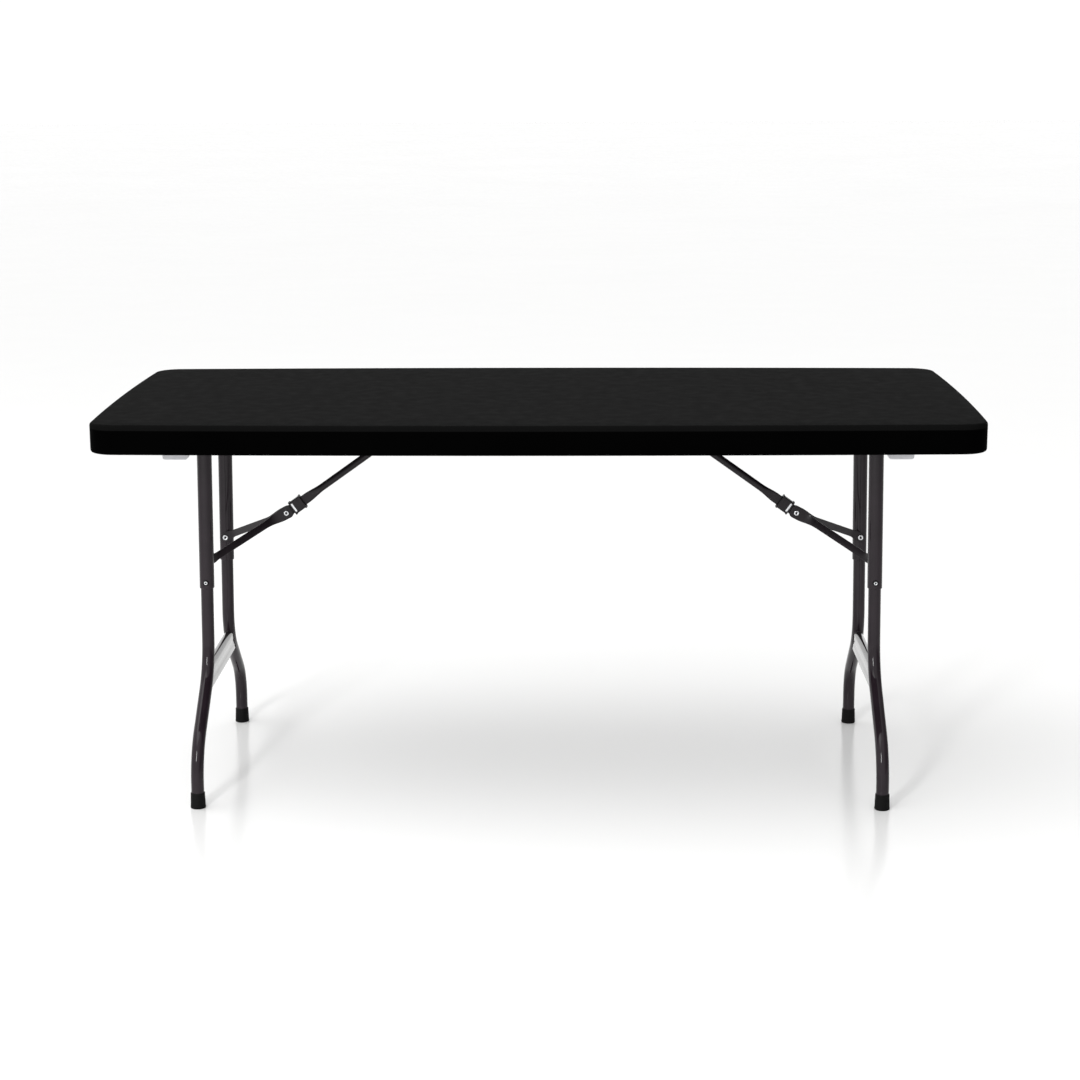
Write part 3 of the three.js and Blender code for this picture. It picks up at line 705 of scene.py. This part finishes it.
def makeCrossbar(end, body):
    # a flat oval drawn from leg to leg, cut where it meets the tubes:
    # their half width √(r² - x²), stretched by their slope
    node, s = f"{end.name}_crossbar", crossbarShape
    low, high = boxOf(node)
    middleZ, half = (low[2] + high[2]) / 2, (high[2] - low[2]) / 2
    steps, halfThick = s["cornerSteps"], s["thickness"] / 2
    section = roundedBox(halfThick, half, halfThick - 0.01, steps=steps)
    flat = np.linspace(-1, 1, steps + 2)[1:-1] * (half - halfThick)
    upper, lower = section[:2 * steps], section[2 * steps:]
    right = np.stack([np.full(steps, halfThick), flat], axis=1)
    left = np.stack([np.full(steps, -halfThick), -flat], axis=1)
    outline = np.concatenate([upper, left, lower, right])
    sunk = s["swage"] * (1 - smoothly(np.abs(outline[:, 1]), s["swageFrom"], s["swageTo"]))
    outline[:, 0] -= np.sign(outline[:, 0]) * sunk * (np.abs(outline[:, 0]) > halfThick - 0.1)
    x, z = legX(middleZ) + outline[:, 0], middleZ + outline[:, 1]
    legY, slope = legCentre(z)
    fromAxis = np.clip(np.abs(x - legX(z)), 0, legShape["radius"] - 0.5)
    cut = np.sqrt(legShape["radius"] ** 2 - fromAxis ** 2) * np.sqrt(1 + slope ** 2)
    reach = legY - cut + s["into"]
    along = np.linspace(-1, 1, s["rows"])[:, None]
    bar = np.stack([x + 0 * along, reach * along, z + 0 * along], axis=-1)
    closing = np.array([legX(middleZ), legCentre(middleZ)[0] - s["tipBack"], middleZ])
    tips = [np.broadcast_to(closing * [1, sign, 1], bar[0].shape)[None] for sign in (-1, 1)]
    end.make(node, [np.concatenate([tips[0], bar, tips[1]])], barPaint, body, "leg_paint")
    for side in (1, -1):
        weld = np.stack([x, reach - s["into"], z], axis=1)
        count = np.arange(len(weld))
        radius = s["bead"] * (1 + sum(share * np.sin(count * pace) for share, pace in s["ripple"]))
        bead = carried(weld, radius, np.array([0, 1.0, 0]), s["beadCount"], closed=True)
        makePiece(f"{end.name}{'Back' if side * end.turn[1] > 0 else 'Front'}Weld",
                  end.lay([(bead, True, True)], side), legPaint, body, slot="leg_paint")


def aroundPoint(outline, centre, count):
    # the same outline, met by evenly spaced rays from a point inside it
    away = outline - centre
    angle = np.arctan2(away[:, 1], away[:, 0])
    even = np.linspace(-np.pi, np.pi, count, endpoint=False)
    order = np.argsort(angle)
    angle, away = angle[order], away[order]
    angle = np.concatenate([angle[-1:] - 2 * np.pi, angle, angle[:1] + 2 * np.pi])
    away = np.concatenate([away[-1:], away, away[:1]])
    x, y = np.interp(even, angle, away[:, 0]), np.interp(even, angle, away[:, 1])
    return np.stack([x, y], axis=1) + centre, even


blockShape = {
    "length": 46, "width": 22, "roofCorner": 0.6, "footCorner": 6, "cornerSteps": 12,
    "sideSteps": 24, "rays": 180,
    "edge": 0.8, "bore": 11, "endWall": 2.5, "flange": 16, "flangeDepth": 5, "flangeCorner": 3,
    "flangeEdge": 0.5, "overlap": 1,
}


def makeBlock(end, side):
    node, s = end.node(side, "pivot_block"), blockShape
    low, high = boxOf(node)
    half, roof, bottom = s["length"] / 2, high[2], low[2]
    middle = end.own(centreOf(f"{end.name}_pivot_tube"))
    y = abs((low + high)[1] / 2)
    corners = [(-half, roof), (-half, bottom), (half, bottom), (half, roof)]
    rounds = [s["roofCorner"], s["footCorner"], s["footCorner"], s["roofCorner"]]
    outline = softened(corners, rounds, steps=s["cornerSteps"], closed=True) + np.array([middle[0], 0])
    steps = np.linspace(0, 1, s["sideSteps"], endpoint=False)[None, :, None]
    dense = outline[:, None] * (1 - steps) + np.roll(outline, -1, axis=0)[:, None] * steps
    outside, angle = aroundPoint(dense.reshape(-1, 2), middle[[0, 2]], s["rays"])
    bore = np.stack([np.cos(angle), np.sin(angle)], axis=1) * (s["bore"] + gap) + middle[[0, 2]]
    edge, width = s["edge"], s["width"] / 2
    boreEnd = width - s["endWall"]
    inset = pulledIn(outside, edge)
    middleRing = np.broadcast_to(middle[[0, 2]], outside.shape)
    rings = [(middleRing, width), (inset, width), (outside, width - edge), (outside, edge - width),
             (inset, -width), (bore, -width), (bore, boreEnd), (middleRing, boreEnd)]
    body = np.stack([np.stack([ring[:, 0], np.full(len(ring), y + depth), ring[:, 1]], axis=1)
                     for ring, depth in rings])
    flangeLow, flangeHigh = middle[0] + half - s["overlap"], middle[0] + half + s["flange"]
    plan = roundedBox((flangeHigh - flangeLow) / 2, width, s["flangeCorner"])
    plan = plan + np.array([(flangeLow + flangeHigh) / 2, y])
    flange = slab(plan, roof - s["flangeDepth"], roof, s["flangeEdge"], flat=True)
    end.make(node, [body, flange], bearingPlastic, "table", "grey_plastic", side)


armShape = {
    "radius": 7, "flat": 3, "kneeHalf": 9.8, "eyeHalf": 7.4, "kneeEnd": 10, "eyeEnd": 7, "tip": 6,
    "eyeFlat": 12, "eyeRound": 36, "kneeFlat": 49, "kneeRound": 86,
    "squareness": 0.62, "count": 48, "endRows": 9,
    "eyeRows": ((3, 13, 3), (14, 36, 14)), "middleRows": (60, 110, 4),
    "kneeRows": ((92, 44, 22), (38, 1, 4)),
    "flatAngle": 60,
}


def makeArm(end):
    # a rod pressed flat at both ends: |cos|^n and |sin|^n, where n falls from 1 on the round rod to
    # 0.38 on the flats
    s, length = armShape, end.armLength
    quarter = np.linspace(0, np.pi / 2, s["endRows"])
    tipStart = length + s["kneeEnd"] - s["tip"]
    start, before, count = s["middleRows"]
    x = np.concatenate([
        -s["eyeEnd"] * np.cos(quarter), *(np.linspace(*rows) for rows in s["eyeRows"]),
        np.linspace(start, length - before, count),
        *(length - np.linspace(*rows) for rows in s["kneeRows"]), tipStart + s["tip"] * np.sin(quarter),
    ])
    flatEye = 1 - smoothly(x, s["eyeFlat"], s["eyeRound"])
    flatKnee = smoothly(x, length - s["kneeRound"], length - s["kneeFlat"])
    tall = s["radius"] + (s["eyeHalf"] - s["radius"]) * flatEye + (s["kneeHalf"] - s["radius"]) * flatKnee
    thick = s["radius"] + (s["flat"] - s["radius"]) * (flatEye + flatKnee)
    power = 1 - s["squareness"] * (flatEye + flatKnee)
    tall = tall * np.sqrt(np.clip(1 - (np.minimum(x, 0) / s["eyeEnd"]) ** 2, 0, 1))
    tall = tall * (1 - np.clip((x - tipStart) / s["tip"], 0, 1) ** 3) ** (1 / 3)
    angle = fullTurn(s["count"])
    wave, lift = np.cos(angle), np.sin(angle)
    y = np.sign(wave) * np.abs(wave) ** power[:, None] * thick[:, None]
    z = np.sign(lift) * np.abs(lift) ** power[:, None] * tall[:, None]
    arm = np.stack([x[:, None] + 0 * angle, y, z], axis=-1)
    end.make(f"{end.name}_upper_arm", [arm], bracePaint, f"{end.name}_arm", "brace_paint",
             origin=end.armTop, slope=end.armSlope, flatAngle=s["flatAngle"])


strutShape = {
    "sheet": 3, "half": 12, "end": 12.5, "parallel": 26, "taper": 46,
    "barHalf": 7, "footHalf": 9, "footEnd": 10,
    "edge": 0.7, "bend": 14, "bendSteps": 12, "taperFrom": 8, "footRun": 6, "footTaper": (-6, 5),
    "nearRows": 12, "barRows": 90, "farRows": 10,
}


def makeStrut(end, side):
    # a flat bar bent outwards along a line; its half height is a blend of three widths, rounded off
    # at the knee by (1 - t³)^⅓ and at the foot by (1 - t²)^½
    s, length = strutShape, end.forkLength
    start = armShape["flat"] + gap + s["sheet"] / 2
    finish = legShape["sleeveY"] - legShape["sleeveRadius"] - gap - s["sheet"] / 2
    turn = length - s["footHalf"] - s["footRun"]
    line = softened([(-s["end"], start), (s["parallel"], start), (turn, finish),
                     (length + s["footEnd"], finish)], s["bend"], steps=s["bendSteps"])
    near = -s["end"] + s["half"] * (1 - np.cos(np.linspace(0, np.pi / 2, s["nearRows"])))
    far = length + s["footEnd"] - s["footHalf"] * (1 - np.sin(np.linspace(0, np.pi / 2, s["farRows"])))
    x = np.unique(np.round(np.concatenate([near, np.linspace(0, far[0], s["barRows"]), far]), 4))
    centre = np.interp(x, line[:, 0], line[:, 1])
    heading = np.arctan(np.interp(x, line[:, 0], np.gradient(line[:, 1], line[:, 0])))
    half = s["half"] + (s["barHalf"] - s["half"]) * smoothly(x, s["taperFrom"], s["taper"])
    footFrom, footTo = s["footTaper"]
    half = half + (s["footHalf"] - s["barHalf"]) * smoothly(x, turn + footFrom, turn + footTo)
    half = half * (1 - 0.995 * np.clip((s["half"] - s["end"] - x) / s["half"], 0, 1) ** 3) ** (1 / 3)
    half = half * np.sqrt(1 - 0.97 * np.clip((x - far[0]) / s["footHalf"], 0, 1) ** 2)
    section = roundedBox(s["sheet"] / 2, 1.0, s["edge"] * 0.98, steps=4)
    across, tall = section[:, 0][None, :], np.sign(section[:, 1])[None, :]
    rim = (s["edge"] - (1.0 - np.abs(section[:, 1])))[None, :]
    z = tall * np.maximum(half[:, None] - s["edge"] + rim, 0)
    strut = np.stack([
        x[:, None] - across * np.sin(heading)[:, None],
        centre[:, None] + across * np.cos(heading)[:, None], z,
    ], axis=-1)
    tips = [np.broadcast_to([x[index], centre[index], 0], strut[0].shape)[None] for index in (0, -1)]
    strut = np.concatenate([tips[0], strut, tips[1]])
    end.make(end.node(side, "strut"), [strut], bracePaint, f"{end.name}_fork", "brace_paint", side,
             origin=end.knee, slope=end.forkSlope)


def shankGrid(radius, low, high):
    return turned([(0, low), (radius, low), (radius, high), (0, high)], count=rivetShape["shankCount"])


def makeStrutBolt(end, side):
    face, s = legShape["sleeveY"] - legShape["sleeveRadius"], rivetShape["strut"]
    inner = face - gap - strutShape["sheet"]
    floor = -inner + s["height"] - rivetShape["deep"]
    head = rivetGrids(-inner, s["head"], s["height"], s["hollow"], floor, -1)
    # bracePaint here is the dark coat in the bolt head's hollow, painted shade
    end.make(end.node(side, "strut_bolt"), [*head, shankGrid(s["shank"], inner - 0.5, face)],
             [zincPlate, bracePaint], f"{end.name}_fork", "zinc", side, origin=end.strutFoot)


def makeKneeRivet(end):
    face, s = armShape["flat"] + gap + strutShape["sheet"], rivetShape["knee"]
    floor = face + s["height"] - rivetShape["deep"]
    heads = [patch for sign in (1, -1)
             for patch in rivetGrids(face, s["head"], s["height"], s["hollow"], floor, sign)]
    # bracePaint here is the dark coat in the rivet heads' hollows, painted shade
    end.make(f"{end.name}_knee_rivet", [*heads, shankGrid(s["shank"], -face - gap, face + gap)],
             [zincPlate, bracePaint], f"{end.name}_fork", "zinc", origin=end.knee)


ringShape = {
    "near": 14.4, "length": 25.6, "outerY": 9.1, "outerZ": 13.2, "wall": 1.8, "lip": 1.5,
    "lipFrom": 2, "lipTo": 3,
    "rim": 0.4, "rimLength": 0.35, "corner": 2.6, "innerCorner": 1.52, "cornerSteps": 8,
    "endRows": (0, 0.3, 1.9, 2.4, 3.2), "middleRows": (5, 5), "flatAngle": 40,
    "window": 4.2, "windowStart": 2.2, "windowHalf": 9.6, "windowCorner": 1.6, "windowReach": 20,
}


def makeRing(end):
    # a rounded box section drawn along the arm: the outer skin swells to a lip at both ends,
    # and the inner skin runs back
    s = ringShape
    far = end.armLength - s["near"]
    near = far - s["length"]
    rows, (fromEnd, count) = np.array(s["endRows"]), s["middleRows"]
    x = np.concatenate([near + rows, np.linspace(near + fromEnd, far - fromEnd, count), far - rows[::-1]])
    depth = np.minimum(x - near, far - x)
    lip = s["lip"] * (1 - smoothly(depth, s["lipFrom"], s["lipTo"]))
    rim = s["rim"] * (1 - smoothly(depth, 0, s["rimLength"]))
    outline = roundedBox(1, 1, 0.999, s["cornerSteps"])
    angle = np.arctan2(outline[:, 1], outline[:, 0])
    east, up = np.sign(outline)[:, 0][None], np.sign(outline)[:, 1][None]

    def skin(halfY, halfZ, corner, inwards):
        y = east * (halfY - corner) + corner * np.cos(angle)[None] - east * inwards
        z = up * (halfZ - corner - inwards) + corner * np.sin(angle)[None]
        return y + 0 * x[:, None], z + 0 * x[:, None]

    outerY, outerZ = skin(s["outerY"], s["outerZ"] + lip[:, None], s["corner"], rim[:, None])
    innerY, innerZ = skin(s["outerY"] - s["wall"], s["outerZ"] - s["wall"], s["innerCorner"], 0)
    along = x[:, None] + 0 * outerY
    outer, inner = np.stack([along, outerY, outerZ], axis=-1), np.stack([along, innerY, innerZ], axis=-1)
    ring = end.make(f"{end.name}_lock_ring", [(np.concatenate([outer, inner[::-1]]), True, True)],
                    bracePaint, f"{end.name}_ring", "brace_paint",
                    origin=end.armTop, slope=end.armSlope, flatAngle=s["flatAngle"])
    half = s["window"] / 2
    opening = roundedBox(half, s["windowHalf"], s["windowCorner"])
    opening = opening + np.array([far - s["windowStart"] - half, 0])
    tool = slab(opening, -s["windowReach"], s["windowReach"], 0.01)
    openWindow(ring, end.lay([tool], 1, end.armTop, end.armSlope))


def openWindow(piece, patches):
    # takes the patches' solid out of a piece and keeps the result as its mesh
    tool = bpy.data.objects.new("windowTool", meshFrom("windowTool", patches))
    bpy.context.collection.objects.link(tool)
    window = piece.modifiers.new("window", "BOOLEAN")
    window.operation, window.solver, window.object = "DIFFERENCE", "EXACT", tool
    whole = bpy.context.evaluated_depsgraph_get()
    mesh = bpy.data.meshes.new_from_object(piece.evaluated_get(whole))
    piece.modifiers.clear()
    piece.data = mesh
    piece.data.shade_smooth()
    piece.data.set_sharp_from_angle(angle=math.radians(35))
    bpy.data.objects.remove(tool)


springShape = {
    "inset": 1, "width": 7, "side": 6.3, "low": -10, "roof": 10.5, "bend": 2.2, "bendSteps": 7,
    "sheet": 0.9, "edge": 0.2,
}


def makeRingSpring(end):
    s = springShape
    far = end.armLength - ringShape["near"] - s["inset"]
    side, low, roof = s["side"], s["low"], s["roof"]
    line = softened([(-side, low), (-side, roof), (side, roof), (side, low)],
                    s["bend"], steps=s["bendSteps"])
    end.make(f"{end.name}_ring_spring", foldedSheet(line, s["sheet"], far - s["width"], far), zincPlate,
             f"{end.name}_ring", "zinc", origin=end.armTop, slope=end.armSlope, bevel=s["edge"])


bracketShape = {
    "sheet": 2.5, "corner": 5, "plateEdge": 0.5, "earNear": 8, "earFar": 10,
    "earCorner": 7.6, "earSteps": 10,
    "earInner": 3.6, "earOuter": 6.1, "earEdge": 0.4, "rootCorner": 0.5, "rootDepth": 1,
    "screwX": 20, "screwY": 12.2, "pinShank": 3, "pinCount": 28,
    "pinHead": [(0, 0), (4.5, 0), (4.6, 0.9), (3.9, 1.7), (2.2, 2.0), (0, 2.05)],
}


def makeBracket(end):
    node, s, pin = f"{end.name}_brace_bracket", bracketShape, end.armTop
    low, high = boxOf(node)
    size, centre, roof = high - low, end.own((low + high) / 2), high[2]
    plan = roundedBox(size[0] / 2, size[1] / 2, s["corner"]) + np.array([centre[0], 0])
    plate = slab(plan, roof - s["sheet"], roof, s["plateEdge"], flat=True)
    root = roof - s["rootDepth"]
    rounds = [s["rootCorner"], s["earCorner"], s["earCorner"], s["rootCorner"]]
    near, far = -s["earNear"], s["earFar"]
    ear = softened([(near, root), (near, low[2]), (far, low[2]), (far, root)], rounds,
                   steps=s["earSteps"], closed=True) + np.array([pin[0], 0])
    ears = [slab(ear, *sorted((s["earInner"] * side, s["earOuter"] * side)), s["earEdge"])
            for side in (1, -1)]
    screws = [screwGrid(pin[0] + s["screwX"], side * s["screwY"], roof - s["sheet"]) for side in (1, -1)]
    end.make(node, [plate, *ears], bracePaint, "table", "brace_paint")
    makePiece(f"{end.name}BracketScrews", end.lay(screws), zincPlate, "table", slot="zinc")
    face = s["earOuter"]
    head = np.array(s["pinHead"]) + [0, face]
    heads = [turned(head * [1, sign], count=s["pinCount"]) for sign in (1, -1)]
    end.make(f"{end.name}_brace_pin", [*heads, shankGrid(s["pinShank"], -face - 0.2, face + 0.2)],
             zincPlate, "table", "zinc", origin=pin)


clipShape = {"sheet": 2.4, "bend": 5, "bendSteps": 9, "edge": 0.5}


def makeClip(end):
    node, s = f"{end.name}_leg_clip", clipShape
    low, high = boxOf(node)
    centre, half = end.own((low + high) / 2), (high - low) / 2
    side, roof = half[1] - s["sheet"] / 2, high[2] - s["sheet"] / 2
    y = legShape["sleeveY"]
    line = softened([(y - side, low[2]), (y - side, roof), (y + side, roof), (y + side, low[2])],
                    s["bend"], steps=s["bendSteps"])
    end.make(node, foldedSheet(line, s["sheet"], centre[0] - half[0], centre[0] + half[0]), clipPlastic,
             "table", "black_plastic", bevel=s["edge"])


for name in ("left", "right"):
    end = End(name)
    makeLegs(end)
    for side in (1, -1):
        makeBlock(end, side)
        makeScrew(end.node(side, "block_screw"))
        makeStrut(end, side)
        makeStrutBolt(end, side)
    makeArm(end)
    makeKneeRivet(end)
    makeRing(end)
    makeRingSpring(end)
    makeBracket(end)
    makeClip(end)
    print(name, "end made")

studio = {
    "floorHalf": 40, "floorColour": (0.95, 0.95, 0.945), "floorShade": 0.99, "floorRoughness": (0.16, 0.2),
    "floorCloud": 0.8, "sky": 1.05, "skyShade": 0.25, "shadeFrom": 0.35, "shadeTo": 0.8,
}
lamps = {
    "overhead": {"place": (-1.8, -0.8, 4.2), "aim": (0, 0, 0), "size": (4.5, 3.0), "power": 70},
    "front": {"place": (-1.8, -4.6, 2.7), "aim": (0, 0, 0.4), "size": (0.5, 1.6), "power": 95},
}


def makeSky():
    # white all round the view, falling to a shade on the right, which gives the tubes their darker side
    sky = bpy.data.worlds.new("studioSky")
    sky.use_nodes = True
    nodes, links = sky.node_tree.nodes, sky.node_tree.links
    nodes["Background"].inputs["Color"].default_value = (1, 1, 1, 1)
    heading = nodes.new("ShaderNodeSeparateXYZ")
    links.new(nodes.new("ShaderNodeTexCoord").outputs["Generated"], heading.inputs["Vector"])
    strength = rangeOf(nodes, links, heading.outputs["X"], studio["sky"], studio["skyShade"],
                       studio["shadeFrom"], studio["shadeTo"])
    links.new(strength, nodes["Background"].inputs["Strength"])
    bpy.context.scene.world = sky


def makeFloor():
    material, nodes, links, shader, place = newFinish("studioFloor")
    cloud = noiseOn(nodes, links, place, studio["floorCloud"])
    light = studio["floorColour"]
    dark = tuple(level * studio["floorShade"] for level in light)
    links.new(rampOf(nodes, links, cloud, dark, light), shader.inputs["Base Color"])
    links.new(rangeOf(nodes, links, cloud, *studio["floorRoughness"]), shader.inputs["Roughness"])
    half = studio["floorHalf"] / millimetre
    x, y = np.meshgrid([-half, half], [-half, half], indexing="ij")
    mesh = meshFrom("studioFloor", [(np.stack([x, y, 0 * x], axis=-1), False, False, 0)])
    mesh.materials.append(material)
    floor = bpy.data.objects.new("studioFloor", mesh)
    bpy.context.collection.objects.link(floor)


def makeLamps():
    for name, lamp in lamps.items():
        light = bpy.data.lights.new(name, "AREA")
        light.shape, light.energy = "RECTANGLE", lamp["power"]
        light.size, light.size_y = lamp["size"]
        holder = bpy.data.objects.new(name, light)
        bpy.context.collection.objects.link(holder)
        holder.location = lamp["place"]
        aim = Vector(lamp["aim"]) - Vector(lamp["place"])
        holder.rotation_euler = aim.to_track_quat("-Z", "Y").to_euler()


bpy.context.scene.view_settings.view_transform = "Standard"
makeSky()
makeFloor()
makeLamps()
print("studio made")
